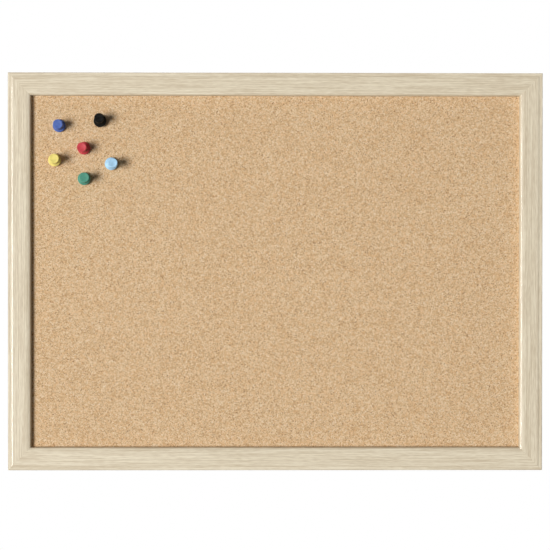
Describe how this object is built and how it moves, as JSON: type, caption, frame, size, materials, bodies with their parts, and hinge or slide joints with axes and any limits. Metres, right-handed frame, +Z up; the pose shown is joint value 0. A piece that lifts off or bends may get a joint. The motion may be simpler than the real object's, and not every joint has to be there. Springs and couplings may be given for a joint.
{
  "type": "pin board",
  "caption": "Wall-hung pin board: pale wood-look mitred frame round a cork sheet on a softboard core, with push pins stuck in it and sawtooth hangers behind.",
  "frame": {"origin": "centre of the board on the plane of the frame's back, which faces the wall", "axes": "+X right and +Z up as the board hangs; the cork face looks along -Y"},
  "size_m": [0.39, 0.0271, 0.29],
  "materials": {
    "frame_foil": "pale whitewashed wood-grain foil on fibreboard, satin",
    "cork": "fine agglomerated cork, matt",
    "softboard": "soft fibreboard",
    "backing_card": "grey card",
    "steel": "bright steel",
    "plated_steel": "brass-plated steel",
    "pin_blue": "satin moulded plastic",
    "pin_black": "satin moulded plastic",
    "pin_red": "satin moulded plastic",
    "pin_yellow": "satin moulded plastic",
    "pin_light_blue": "satin moulded plastic",
    "pin_green": "satin moulded plastic"
  },
  "bodies": {
    "board": {"frame_rail_top": "frame_foil", "frame_rail_bottom": "frame_foil", "frame_rail_left": "frame_foil", "frame_rail_right": "frame_foil", "cork_sheet": "cork", "softboard_core": "softboard", "backing_card": "backing_card", "corner_wedge_top_left": "steel", "corner_wedge_top_right": "steel", "corner_wedge_bottom_left": "steel", "corner_wedge_bottom_right": "steel", "retaining_point_top_1": "steel", "retaining_point_top_2": "steel", "retaining_point_top_3": "steel", "retaining_point_bottom_1": "steel", "retaining_point_bottom_2": "steel", "retaining_point_bottom_3": "steel", "retaining_point_left_1": "steel", "retaining_point_left_2": "steel", "retaining_point_right_1": "steel", "retaining_point_right_2": "steel", "sawtooth_hanger_1": "plated_steel", "sawtooth_hanger_2": "plated_steel", "hanger_nail_1_1": "plated_steel", "hanger_nail_1_2": "plated_steel", "hanger_nail_2_1": "plated_steel", "hanger_nail_2_2": "plated_steel"},
    "pin_blue": {"pin_blue_head": "pin_blue", "pin_blue_needle": "steel"},
    "pin_black": {"pin_black_head": "pin_black", "pin_black_needle": "steel"},
    "pin_red": {"pin_red_head": "pin_red", "pin_red_needle": "steel"},
    "pin_yellow": {"pin_yellow_head": "pin_yellow", "pin_yellow_needle": "steel"},
    "pin_light_blue": {"pin_light_blue_head": "pin_light_blue", "pin_light_blue_needle": "steel"},
    "pin_green": {"pin_green_head": "pin_green", "pin_green_needle": "steel"}
  },
  "joints": [
    {"name": "pin_blue_pull", "type": "slide", "parent": "board", "child": "pin_blue", "axis": [0.0244, -0.9988, 0.0419], "range_m": [0, 0.016]},
    {"name": "pin_black_pull", "type": "slide", "parent": "board", "child": "pin_black", "axis": [0.0362, -0.9884, 0.1477], "range_m": [0, 0.016]},
    {"name": "pin_red_pull", "type": "slide", "parent": "board", "child": "pin_red", "axis": [-0.0488, -0.9988, 0.0035], "range_m": [0, 0.016]},
    {"name": "pin_yellow_pull", "type": "slide", "parent": "board", "child": "pin_yellow", "axis": [0.0957, -0.994, 0.0521], "range_m": [0, 0.016]},
    {"name": "pin_light_blue_pull", "type": "slide", "parent": "board", "child": "pin_light_blue", "axis": [0.2079, -0.9781, 0.0102], "range_m": [0, 0.016]},
    {"name": "pin_green_pull", "type": "slide", "parent": "board", "child": "pin_green", "axis": [0.1287, -0.9907, 0.0433], "range_m": [0, 0.016]}
  ]
}
